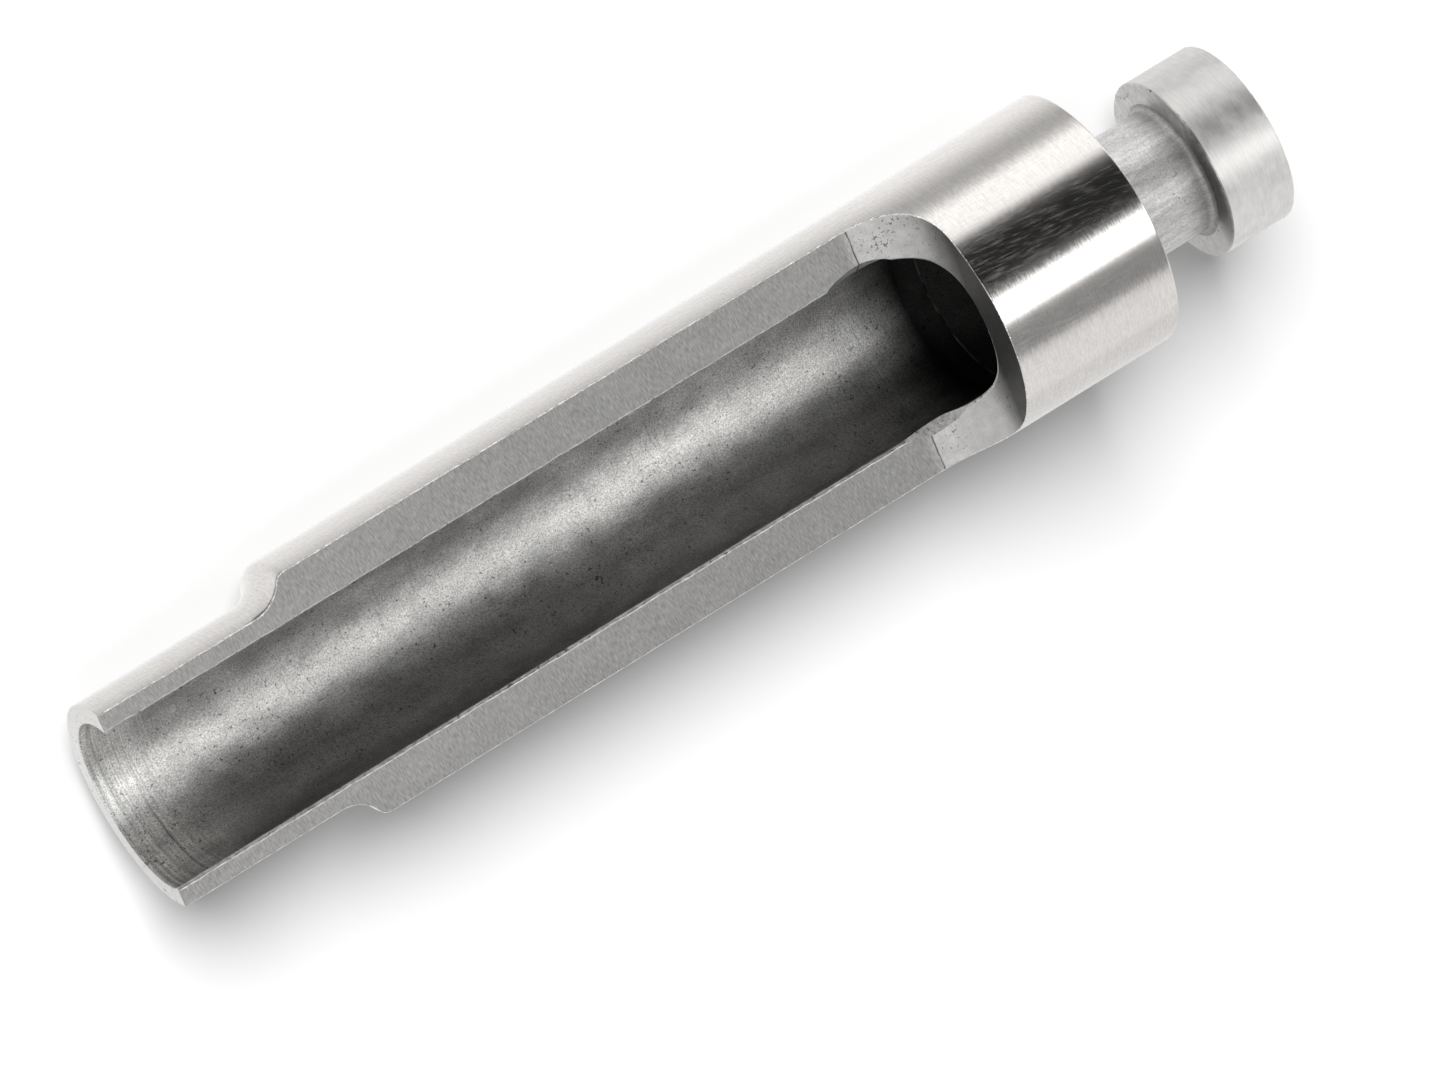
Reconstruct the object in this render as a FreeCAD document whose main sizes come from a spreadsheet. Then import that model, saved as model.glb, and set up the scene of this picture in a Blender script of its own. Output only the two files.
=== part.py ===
"""Nibbler punch: a tool steel punch, turned, bored and milled from one bar, in millimetres.

The axis of the punch runs along X, with the cutting end at -X and the head at +X.
The origin is on the axis, in the plane of the shoulder at the back of the body.
The chip channel opens upwards, along +Z, and the punch lies on its round back.
"""
import FreeCAD, Part
import Sketcher
import math
import os

NODE = "punch"

# Driving sizes of the punch in millimetres, or degrees for an angle
SIZES = {
    "body_diameter": (20.0, "ground diameter that runs in the guide"),
    "body_length": (82.0, "cutting face to shoulder"),
    "front_diameter": (16.0, "reduced diameter behind the cutting face"),
    "front_length": (15.7, "cutting face to the corner of the full diameter"),
    "front_radius": (2.8, "hollow radius that ends the reduced diameter"),
    "front_corner_round": (0.8, "rounding of the corner of the full diameter"),
    "flat_height": (1.6, "lips of the channel above the axis"),
    "opening_length": (68.7, "cutting face to the wall that ends the opening"),
    "runout_radius": (5.0, "cutter radius between the lips and that wall"),
    "bore_diameter": (13.0, "chip bore"),
    "bore_depth": (70.7, "cutting face to the end of the full bore"),
    "drill_angle": (118.0, "point angle at the bottom of the bore"),
    "edge_break": (0.3, "chamfer along the edge between bore and opening"),
    "relief_radius": (7.1, "hand relief where the lips turn up, seen from above"),
    "relief_setback": (0.3, "centre of the relief ahead of the start of the run-out"),
    "relief_floor_angle": (50.0, "slope of the relief down into the bore"),
    "relief_wall_angle": (65.0, "slope of the relief up the run-out"),
    "neck_diameter": (9.7, "neck that the holder grips round"),
    "neck_length": (7.0, "shoulder to head"),
    "neck_fillet": (0.5, "fillet at both ends of the neck"),
    "head_diameter": (14.0, "head that the holder pulls on"),
    "head_length": (5.5, "thickness of the head"),
    "rim_chamfer": (0.15, "chamfer on the rims of the shoulder and the head"),
}

# Lengths below this, in millimetres, count as nothing
NEAR = 1e-4


def size(name):
    """Returns one driving size as a number."""
    return SIZES[name][0]


def make_sheet(doc):
    """Writes the driving sizes to a spreadsheet, one row each: name, value, meaning."""
    sheet = doc.addObject("Spreadsheet::Sheet", "sizes")
    for row, (name, (value, meaning)) in enumerate(SIZES.items(), start=1):
        sheet.set(f"A{row}", name)
        sheet.set(f"B{row}", str(value))
        sheet.set(f"C{row}", meaning)
        sheet.setAlias(f"B{row}", name)
    doc.recompute()
    return sheet


def new_sketch(body, name):
    """Adds a sketch on the lengthwise upright plane through the axis: X across, Z up."""
    plane = [item for item in body.Origin.OriginFeatures if item.Role == "XZ_Plane"][0]
    sketch = body.newObject("Sketcher::SketchObject", name)
    sketch.AttachmentSupport = [(plane, "")]
    sketch.MapMode = "FlatFace"
    return sketch


def origin():
    """Returns the origin of a sketch, as its constraints number points."""
    return -1, 1


def start_of(segment):
    """Returns the first point of a numbered segment, as constraints number it."""
    return segment, 1


def end_of(segment):
    """Returns the last point of a numbered segment, as constraints number it."""
    return segment, 2


def put_on_level_axis(sketch, point):
    """Keeps a point on the level axis of its sketch."""
    sketch.addConstraint(Sketcher.Constraint("PointOnObject", *point, -1))


def put_on_upright_axis(sketch, point):
    """Keeps a point on the upright axis of its sketch."""
    sketch.addConstraint(Sketcher.Constraint("PointOnObject", *point, -2))


def line(start, end):
    """Returns a straight segment of an outline, from start to end."""
    return "line", start, end


def arc(centre, radius, first, last):
    """Returns an arc of an outline, anticlockwise between two angles in degrees."""
    return "arc", centre, radius, first, last


def draw(sketch, outline, tangents=()):
    """Draws a closed outline, joins its ends, and levels its level and upright lines.

    tangents lists the segments that run on smoothly into the next one.
    """
    for segment in outline:
        if segment[0] == "line":
            ends = [FreeCAD.Vector(x, z, 0) for x, z in segment[1:]]
            sketch.addGeometry(Part.LineSegment(*ends), False)
        else:
            _, (x, z), radius, first, last = segment
            circle = Part.Circle(FreeCAD.Vector(x, z, 0), FreeCAD.Vector(0, 0, 1), radius)
            curve = Part.ArcOfCircle(circle, math.radians(first), math.radians(last))
            sketch.addGeometry(curve, False)
    for index, segment in enumerate(outline):
        following = (index + 1) % len(outline)
        joint = "Tangent" if index in tangents else "Coincident"
        sketch.addConstraint(Sketcher.Constraint(joint, *end_of(index), *start_of(following)))
        if segment[0] == "line":
            (x_start, z_start), (x_end, z_end) = segment[1:]
            if abs(z_end - z_start) < NEAR:
                sketch.addConstraint(Sketcher.Constraint("Horizontal", index))
            elif abs(x_end - x_start) < NEAR:
                sketch.addConstraint(Sketcher.Constraint("Vertical", index))


def bind(sketch, name, kind, where, value, expression):
    """Adds one named dimension and ties it to the spreadsheet."""
    number = sketch.addConstraint(Sketcher.Constraint(kind, *where, value))
    sketch.renameConstraint(number, name)
    sketch.setExpression(f"Constraints.{name}", expression)


def turn_blank(body):
    """Turns the whole outside of the punch: reduced front, body, neck and head."""
    front = -size("body_length")
    body_r = size("body_diameter") / 2
    front_r = size("front_diameter") / 2
    hollow = size("front_radius")
    corner = front + size("front_length")
    neck_r = size("neck_diameter") / 2
    neck_end = size("neck_length")
    fillet = size("neck_fillet")
    head_r = size("head_diameter") / 2
    head_end = neck_end + size("head_length")
    chamfer = size("rim_chamfer")

    # The hollow starts level with the reduced diameter and is cut off by the full one
    drop = front_r + hollow - body_r
    hollow_start = corner - math.sqrt(hollow**2 - drop**2)
    hollow_angle = -math.degrees(math.asin(drop / hollow))

    sketch = new_sketch(body, "turned_profile")
    draw(sketch, [
        line((front, 0), (front, front_r)),
        line((front, front_r), (hollow_start, front_r)),
        arc((hollow_start, front_r + hollow), hollow, -90, hollow_angle),
        line((corner, body_r), (-chamfer, body_r)),
        line((-chamfer, body_r), (0, body_r - chamfer)),
        line((0, body_r - chamfer), (0, neck_r + fillet)),
        arc((fillet, neck_r + fillet), fillet, 180, 270),
        line((fillet, neck_r), (neck_end - fillet, neck_r)),
        arc((neck_end - fillet, neck_r + fillet), fillet, 270, 360),
        line((neck_end, neck_r + fillet), (neck_end, head_r - chamfer)),
        line((neck_end, head_r - chamfer), (neck_end + chamfer, head_r)),
        line((neck_end + chamfer, head_r), (head_end - chamfer, head_r)),
        line((head_end - chamfer, head_r), (head_end, head_r - chamfer)),
        line((head_end, head_r - chamfer), (head_end, 0)),
        line((head_end, 0), (front, 0)),
    ], tangents=(1, 5, 6, 7, 8))
    put_on_level_axis(sketch, start_of(0))
    put_on_upright_axis(sketch, end_of(4))
    bind(sketch, "body_length", "DistanceX", (*start_of(0), *origin()), -front, "sizes.body_length")
    bind(sketch, "front_radius_out", "DistanceY", (*origin(), *end_of(0)), front_r,
         "sizes.front_diameter / 2")
    bind(sketch, "hollow", "Radius", (2,), hollow, "sizes.front_radius")
    bind(sketch, "corner_place", "DistanceX", (*end_of(2), *origin()), -corner,
         "sizes.body_length - sizes.front_length")
    bind(sketch, "body_radius", "DistanceY", (*origin(), *start_of(3)), body_r,
         "sizes.body_diameter / 2")
    bind(sketch, "shoulder_chamfer_x", "DistanceX", (*start_of(4), *end_of(4)), chamfer,
         "sizes.rim_chamfer")
    bind(sketch, "shoulder_chamfer_z", "DistanceY", (*end_of(4), *start_of(4)), chamfer,
         "sizes.rim_chamfer")
    bind(sketch, "shoulder_fillet", "Radius", (6,), fillet, "sizes.neck_fillet")
    bind(sketch, "neck_radius", "DistanceY", (*origin(), *start_of(7)), neck_r,
         "sizes.neck_diameter / 2")
    bind(sketch, "head_fillet", "Radius", (8,), fillet, "sizes.neck_fillet")
    bind(sketch, "neck_length", "DistanceX", (*origin(), *start_of(9)), neck_end,
         "sizes.neck_length")
    bind(sketch, "head_chamfer_x", "DistanceX", (*start_of(10), *end_of(10)), chamfer,
         "sizes.rim_chamfer")
    bind(sketch, "head_chamfer_z", "DistanceY", (*start_of(10), *end_of(10)), chamfer,
         "sizes.rim_chamfer")
    bind(sketch, "head_radius", "DistanceY", (*origin(), *start_of(11)), head_r,
         "sizes.head_diameter / 2")
    bind(sketch, "end_chamfer_x", "DistanceX", (*start_of(12), *end_of(12)), chamfer,
         "sizes.rim_chamfer")
    bind(sketch, "end_chamfer_z", "DistanceY", (*end_of(12), *start_of(12)), chamfer,
         "sizes.rim_chamfer")
    bind(sketch, "head_length", "DistanceX", (*start_of(9), *start_of(13)), size("head_length"),
         "sizes.head_length")

    blank = body.newObject("PartDesign::Revolution", "turned_blank")
    blank.Profile = sketch
    blank.ReferenceAxis = (sketch, ["H_Axis"])
    blank.Angle = 360
    return blank


def front_corner_edges(shape):
    """Names the edge round the blank where the hollow meets the full diameter."""
    corner = size("front_length") - size("body_length")
    names = []
    for number, edge in enumerate(shape.Edges, start=1):
        if edge.Degenerated:
            continue
        points = edge.discretize(5)
        at_corner = all(abs(p.x - corner) < NEAR for p in points)
        goes_round = edge.Length > size("body_diameter")
        if at_corner and goes_round:
            names.append(f"Edge{number}")
    return names


def round_front_corner(body):
    """Rounds the corner where the hollow meets the full diameter."""
    blank = body.Tip
    rounding = body.newObject("PartDesign::Fillet", "front_corner_rounding")
    rounding.Base = (blank, front_corner_edges(blank.Shape))
    rounding.Radius = size("front_corner_round")
    rounding.setExpression("Radius", "sizes.front_corner_round")
    return rounding


def mill_opening(body):
    """Mills the channel open from above: level lips, a quarter round run-out, a wall."""
    front = -size("body_length")
    overrun = size("body_diameter") / 2
    lips = size("flat_height")
    radius = size("runout_radius")
    wall = front + size("opening_length")
    above = size("body_diameter")

    sketch = new_sketch(body, "opening_profile")
    draw(sketch, [
        line((front - overrun, lips), (wall - radius, lips)),
        arc((wall - radius, lips + radius), radius, -90, 0),
        line((wall, lips + radius), (wall, above)),
        line((wall, above), (front - overrun, above)),
        line((front - overrun, above), (front - overrun, lips)),
    ], tangents=(0, 1))
    bind(sketch, "overrun_place", "DistanceX", (*start_of(0), *origin()), overrun - front,
         "sizes.body_length + sizes.body_diameter / 2")
    bind(sketch, "lip_height", "DistanceY", (*origin(), *start_of(0)), lips, "sizes.flat_height")
    bind(sketch, "runout", "Radius", (1,), radius, "sizes.runout_radius")
    bind(sketch, "wall_place", "DistanceX", (*start_of(2), *origin()), -wall,
         "sizes.body_length - sizes.opening_length")
    bind(sketch, "above_the_body", "DistanceY", (*origin(), *end_of(2)), above,
         "sizes.body_diameter")

    opening = body.newObject("PartDesign::Pocket", "milled_opening")
    opening.Profile = sketch
    opening.Type = "ThroughAll"
    opening.SideType = "Symmetric"
    return opening


def bore_channel(body):
    """Drills the blind chip bore from the cutting face, down to its drill point."""
    front = -size("body_length")
    overrun = size("body_diameter") / 2
    bore_r = size("bore_diameter") / 2
    bottom = front + size("bore_depth")
    point = bore_r / math.tan(math.radians(size("drill_angle") / 2))

    sketch = new_sketch(body, "bore_profile")
    draw(sketch, [
        line((front - overrun, 0), (front - overrun, bore_r)),
        line((front - overrun, bore_r), (bottom, bore_r)),
        line((bottom, bore_r), (bottom + point, 0)),
        line((bottom + point, 0), (front - overrun, 0)),
    ])
    put_on_level_axis(sketch, start_of(0))
    bind(sketch, "overrun_place", "DistanceX", (*start_of(0), *origin()), overrun - front,
         "sizes.body_length + sizes.body_diameter / 2")
    bind(sketch, "bore_radius", "DistanceY", (*origin(), *end_of(0)), bore_r,
         "sizes.bore_diameter / 2")
    bind(sketch, "bottom_place", "DistanceX", (*end_of(1), *origin()), -bottom,
         "sizes.body_length - sizes.bore_depth")
    bind(sketch, "drill_point", "DistanceX", (*start_of(2), *end_of(2)), point,
         "sizes.bore_diameter / 2 / tan(sizes.drill_angle * 1 deg / 2)")

    bore = body.newObject("PartDesign::Groove", "chip_bore")
    bore.Profile = sketch
    bore.ReferenceAxis = (sketch, ["H_Axis"])
    bore.Angle = 360
    return bore


def opening_edges(shape):
    """Names the edges where the opening cuts the bore: both lips and the run-out."""
    bore_r = size("bore_diameter") / 2
    lips = size("flat_height")
    names = []
    for number, edge in enumerate(shape.Edges, start=1):
        if edge.Degenerated:
            continue
        points = edge.discretize(5)
        on_bore = all(abs(math.hypot(p.y, p.z) - bore_r) < NEAR for p in points)
        above_lips = all(p.z > lips - NEAR for p in points)
        runs_along = max(p.x for p in points) - min(p.x for p in points) > NEAR
        if on_bore and above_lips and runs_along:
            names.append(f"Edge{number}")
    return names


def break_opening_edges(body):
    """Chamfers the sharp edge that the opening leaves along the bore."""
    bored = body.Tip
    chamfer = body.newObject("PartDesign::Chamfer", "opening_edge_break")
    chamfer.Base = (bored, opening_edges(bored.Shape))
    chamfer.Size = size("edge_break")
    chamfer.setExpression("Size", "sizes.edge_break")
    return chamfer


def relieve_corners(body):
    """Eases both inner corners where the lips turn up, with a ring cut from above.

    The section of the ring is a wedge that is sharpest at the height of the lips. It slopes
    down into the bore inside, and fades out up the run-out.
    """
    radius = size("relief_radius")
    reach = radius / 2
    lips = size("flat_height")
    fall = reach * math.tan(math.radians(size("relief_floor_angle")))
    rise = reach * math.tan(math.radians(size("relief_wall_angle")))
    centre = size("opening_length") - size("runout_radius") - size("relief_setback")

    sketch = new_sketch(body, "relief_profile")
    sketch.AttachmentOffset.Base = FreeCAD.Vector(centre - size("body_length"), 0, 0)
    sketch.setExpression(
        "AttachmentOffset.Base.x",
        "(sizes.opening_length - sizes.runout_radius - sizes.relief_setback"
        " - sizes.body_length) * 1 mm")
    draw(sketch, [
        line((radius, lips), (reach, lips + rise)),
        line((reach, lips + rise), (reach, lips - fall)),
        line((reach, lips - fall), (radius, lips)),
    ])
    bind(sketch, "outer_radius", "DistanceX", (*origin(), *start_of(0)), radius,
         "sizes.relief_radius")
    bind(sketch, "lip_height", "DistanceY", (*origin(), *start_of(0)), lips, "sizes.flat_height")
    bind(sketch, "inner_radius", "DistanceX", (*origin(), *start_of(1)), reach,
         "sizes.relief_radius / 2")
    bind(sketch, "rise", "DistanceY", (*start_of(0), *end_of(0)), rise,
         "sizes.relief_radius / 2 * tan(sizes.relief_wall_angle * 1 deg)")
    bind(sketch, "fall", "DistanceY", (*start_of(2), *end_of(2)), fall,
         "sizes.relief_radius / 2 * tan(sizes.relief_floor_angle * 1 deg)")

    relief = body.newObject("PartDesign::Groove", "corner_relief")
    relief.Profile = sketch
    relief.ReferenceAxis = (sketch, ["V_Axis"])
    relief.Angle = 360
    return relief


def check(doc, body):
    """Stops with a plain message if a feature failed or the punch isn't one sound solid."""
    for item in doc.Objects:
        if "Invalid" in item.State or "Error" in item.State:
            raise RuntimeError(f"{item.Name} failed: {item.State}")
    for item in doc.findObjects("Sketcher::SketchObject"):
        if not item.FullyConstrained:
            raise RuntimeError(f"{item.Name} isn't fully constrained")
    shape = body.Shape
    if shape.isNull() or not shape.isValid() or len(shape.Solids) != 1:
        raise RuntimeError("the punch isn't one sound solid")


def main():
    """Builds the punch feature by feature and writes it to parts/punch.step."""
    doc = FreeCAD.newDocument("nibbler_punch")
    make_sheet(doc)
    body = doc.addObject("PartDesign::Body", NODE)
    body.Label = NODE

    features = []
    for make in (turn_blank, round_front_corner, mill_opening, bore_channel,
                 break_opening_edges, relieve_corners):
        features.append(make(body))
        doc.recompute()
    check(doc, body)

    # Each cut has to take something away
    for before, after in zip(features, features[1:]):
        print(f"{after.Name}: {after.Shape.Volume:.1f} mm3 left")
        if after.Shape.Volume >= before.Shape.Volume:
            raise RuntimeError(f"{after.Name} cut nothing")

    os.makedirs("parts", exist_ok=True)
    body.Shape.exportStep(f"parts/{body.Label}.step")


main()
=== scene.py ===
"""Nibbler punch: the looks of a punch turned, bored and milled from one bar of tool steel.

Lengths are in metres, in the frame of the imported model: X along the axis from the cutting
end to the head, Z up out of the channel, the origin on the axis in the shoulder's plane.
"""
import logging
import math
from dataclasses import dataclass, field, replace
from enum import Enum
from typing import Any

import bpy
import numpy as np
from mathutils import Matrix, Vector


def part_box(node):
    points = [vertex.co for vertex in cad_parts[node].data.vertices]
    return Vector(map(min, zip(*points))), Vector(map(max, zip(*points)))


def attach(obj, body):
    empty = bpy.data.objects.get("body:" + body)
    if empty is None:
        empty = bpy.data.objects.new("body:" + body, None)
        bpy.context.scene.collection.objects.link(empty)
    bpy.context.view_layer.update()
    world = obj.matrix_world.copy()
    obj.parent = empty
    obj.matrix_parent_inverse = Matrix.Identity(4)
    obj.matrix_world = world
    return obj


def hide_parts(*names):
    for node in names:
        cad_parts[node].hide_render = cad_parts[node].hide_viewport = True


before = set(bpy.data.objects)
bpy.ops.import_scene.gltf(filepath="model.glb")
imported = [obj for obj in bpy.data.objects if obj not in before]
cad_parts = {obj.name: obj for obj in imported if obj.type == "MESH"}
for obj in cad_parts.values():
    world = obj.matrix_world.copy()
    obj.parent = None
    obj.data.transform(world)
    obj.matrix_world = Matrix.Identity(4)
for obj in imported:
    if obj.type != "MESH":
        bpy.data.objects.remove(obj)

MM = 1e-3
NODE = "punch"
FLOOR_Z = -10.0 * MM
TOP = math.pi / 2
BOTTOM = -math.pi / 2
TINY = 1e-9
LOG = logging.getLogger("nibbler_punch")

Array = np.ndarray
Tree = bpy.types.NodeTree
Source = bpy.types.Node | bpy.types.NodeSocket
Triple = tuple[float, float, float]
Table = tuple[tuple[float, float], ...]


class Finish(Enum):
    """How a region of the punch was finished; the value is its material slot."""

    GROUND_ROUND = 0
    GROUND_FLAT = 1
    MILLED = 2
    FILED = 3
    BORED = 4
    TURNED_NECK = 5
    TURNED_HEAD = 6
    GROUND_END = 7
    WORN_EDGE = 8
    TURNED_FACE = 9
    RELIEVED = 10
    SCRAPED = 11


class Side(Enum):
    """The half of the punch that a surface lies on; the value is the sign of its Y."""

    NEAR = 1.0
    FAR = -1.0


def linear(code: str) -> tuple[float, float, float, float]:
    """Turns an sRGB hex colour into Blender's linear colour.

    Args:
        code: six hex digits, with or without a leading hash.

    Returns:
        Linear red, green and blue, and an alpha of one.
    """
    parts = [int(code.lstrip("#")[i:i + 2], 16) / 255 for i in (0, 2, 4)]
    return (*[c / 12.92 if c <= 0.04045 else ((c + 0.055) / 1.055) ** 2.4 for c in parts], 1.0)


class Effect:
    """Something that a material's nodes work out at each point: a value or a direction."""

    def add(self, tree: Tree) -> Source:
        """Adds the nodes to a tree; returns the last of them, or one of its outputs."""
        raise NotImplementedError


def feed(tree: Tree, node: bpy.types.Node, inputs: dict[str | int, Any]) -> None:
    """Sets or links a node's inputs.

    Args:
        tree: the node tree.
        node: the node.
        inputs: by input name or number, a value, an output, a node for its first output, or
            an effect, whose nodes are then added.
    """
    for name, value in inputs.items():
        value = value.add(tree) if isinstance(value, Effect) else value
        value = value.outputs[0] if isinstance(value, bpy.types.Node) else value
        if isinstance(value, bpy.types.NodeSocket):
            tree.links.new(value, node.inputs[name])
        else:
            node.inputs[name].default_value = value


def add_node(tree: Tree, kind: str, settings: dict[str, Any] | None = None,
             inputs: dict[str | int, Any] | None = None) -> bpy.types.Node:
    """Adds one shader node with its settings, values and links.

    Args:
        tree: the node tree that gets the node.
        kind: the node's type, without its leading "ShaderNode".
        settings: properties of the node by name.
        inputs: what its inputs get, as in feed.

    Returns:
        The new node.
    """
    node = tree.nodes.new("ShaderNode" + kind)
    for name, value in (settings or {}).items():
        setattr(node, name, value)
    feed(tree, node, inputs or {})
    return node


def unit(vectors: Array) -> Array:
    """Scales vectors to length one.

    Args:
        vectors: an array whose last axis holds the coordinates.

    Returns:
        The unit vectors, with zero where a vector has no length.
    """
    length = np.linalg.norm(vectors, axis=-1, keepdims=True)
    return vectors / np.where(length > 0, length, 1.0)


def grid_normals(points: Array, outwards: Array) -> Array:
    """Works normals out from a grid: the cross product of its two directions.

    Args:
        points: rows by columns by three coordinates.
        outwards: vectors at the same places that show which side is outside.

    Returns:
        Unit normals on the outer side.
    """
    along, across = np.gradient(points, axis=0), np.gradient(points, axis=1)
    normals = unit(np.cross(along, across))
    sign = np.sign((normals * outwards).sum(-1, keepdims=True))
    return normals * np.where(sign == 0, 1.0, sign)


def between(start: Array, end: Array, shares: Array) -> Array:
    """Lays a grid between two lines: each row runs straight from one to the other.

    Args:
        start: one point for each row.
        end: the opposite point for each row.
        shares: places from 0 to 1 along the rows, the same for all or one line for each.

    Returns:
        Rows by columns by the points' own coordinates.
    """
    return start[:, None] + (end - start)[:, None] * shares[..., None]


def bent(start: Array, knee: Array, end: Array, s: Array) -> Array:
    """Gives a quadratic curve: (1 - s)^2 of the start, 2 s (1 - s) of the knee, s^2 of the end.

    Args:
        start: where the curve starts.
        knee: the point that pulls it.
        end: where it ends.
        s: places from 0 to 1, shaped to match the points.

    Returns:
        The points on the curve.
    """
    return (1 - s) ** 2 * start + 2 * s * (1 - s) * knee + s**2 * end


def turned(x: Array, r: Array | float, angle: Array, side: Side) -> Array:
    """Turns a radius about the axis: across is r times the cosine, and up r times the sine.

    Args:
        x: places along the axis.
        r: radii there.
        angle: angles above the level plane; straight up and down lie exactly in the middle.
        side: which half the points lie on.

    Returns:
        The points, with the coordinates on a new last axis.
    """
    upright = np.abs(np.abs(angle) - TOP) < TINY
    across = np.where(upright, 0.0, np.cos(angle))
    return np.stack([np.broadcast_to(x, angle.shape), side.value * r * across, r * np.sin(angle)], -1)


def evenly(points: Array, count: int) -> Array:
    """Spaces points evenly along a line, by its length.

    Args:
        points: a dense line, one point a row.
        count: how many points to return.

    Returns:
        The fractional row numbers of the evenly spaced points.
    """
    steps = np.linalg.norm(np.diff(points, axis=0), axis=1)
    length = np.concatenate([[0.0], np.cumsum(steps)])
    return np.interp(np.linspace(0, length[-1], count), length, np.arange(len(points)))


def ripple(places: Array, wave: float, seed: int) -> Array:
    """Gives a smooth uneven line between about -1 and 1: a sum of sines of mixed lengths.

    Args:
        places: where along the line, in metres.
        wave: the longest wave's length, in metres.
        seed: picks the line.

    Returns:
        One value for each place.
    """
    draw = np.random.default_rng(seed)
    pitch = wave / np.array([1.0, 1.9, 3.1, 4.7, 7.3])
    height = np.array([0.34, 0.26, 0.18, 0.13, 0.09])
    start = draw.uniform(0, 2 * math.pi, len(pitch))
    return (height * np.sin(2 * math.pi * places[:, None] / pitch + start)).sum(-1)


@dataclass(frozen=True)
class Patch:
    """One smooth stretch of the surface: a grid of points, their normals and its finish."""

    points: Array
    normals: Array
    finish: Finish


@dataclass
class Skin:
    """Patches that share their borders, welded into one closed mesh with true normals."""

    patches: list[Patch] = field(default_factory=list)
    weld: float = 1e-8

    def add(self, points: Array, normals: Array, finish: Finish) -> None:
        """Takes a patch over.

        Args:
            points: rows by columns by three coordinates, in metres.
            normals: the outward normals at those points, of any length.
            finish: the patch's finish.
        """
        points = np.where(np.abs(points) < self.weld / 10, 0.0, points)
        self.patches.append(Patch(points, unit(normals), finish))

    def build(self, name: str) -> bpy.types.Mesh:
        """Welds the patches.

        Each cell of a grid gives a quad that is turned to face along its normals. Points
        in the same place become one vertex, and a quad with a closed side a triangle.

        Args:
            name: the mesh's name.

        Returns:
            The closed mesh, with one material number for each finish.
        """
        corners, finishes = [], []
        first = 0
        for patch in self.patches:
            rows, columns, _ = patch.points.shape
            number = first + np.arange(rows * columns).reshape(rows, columns)
            quads = np.stack([number[:-1, :-1], number[:-1, 1:], number[1:, 1:], number[1:, :-1]], -1)
            cell = patch.points.reshape(-1, 3)[quads - first]
            facing = np.cross(cell[..., 2, :] - cell[..., 0, :], cell[..., 3, :] - cell[..., 1, :])
            wanted = patch.normals.reshape(-1, 3)[quads - first].sum(-2)
            backwards = ((facing * wanted).sum(-1) < 0)[..., None]
            corners.append(np.where(backwards, quads[..., ::-1], quads).reshape(-1, 4))
            finishes.append(np.full(len(corners[-1]), patch.finish.value))
            first += rows * columns
        points = np.concatenate([p.points.reshape(-1, 3) for p in self.patches])
        normals = np.concatenate([p.normals.reshape(-1, 3) for p in self.patches])
        quads, finish = np.concatenate(corners), np.concatenate(finishes)

        keys = np.round(points / self.weld).astype(np.int64)
        _, kept, welded = np.unique(keys, axis=0, return_index=True, return_inverse=True)
        vertex = welded.reshape(-1)[quads]
        closed = vertex == np.roll(vertex, -1, axis=1)
        whole = ~closed.any(axis=1)
        three = closed.sum(axis=1) == 1
        keep = ~closed[three]

        loops = np.concatenate([vertex[whole].ravel(), vertex[three][keep]])
        loop_normals = normals[np.concatenate([quads[whole].ravel(), quads[three][keep]])]
        sizes = np.concatenate([np.full(whole.sum(), 4), np.full(three.sum(), 3)])
        slots = np.concatenate([finish[whole], finish[three]])
        mesh = bpy.data.meshes.new(name)
        mesh.vertices.add(len(kept))
        mesh.vertices.foreach_set("co", points[kept].astype(np.float32).ravel())
        mesh.loops.add(len(loops))
        mesh.loops.foreach_set("vertex_index", loops.astype(np.int32))
        mesh.polygons.add(len(sizes))
        mesh.polygons.foreach_set("loop_start", (np.cumsum(sizes) - sizes).astype(np.int32))
        mesh.polygons.foreach_set("material_index", slots.astype(np.int32))
        mesh.polygons.foreach_set("use_smooth", np.ones(len(sizes), bool))
        mesh.update(calc_edges=True)
        mesh.normals_split_custom_set(loop_normals.tolist())
        return mesh


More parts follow.
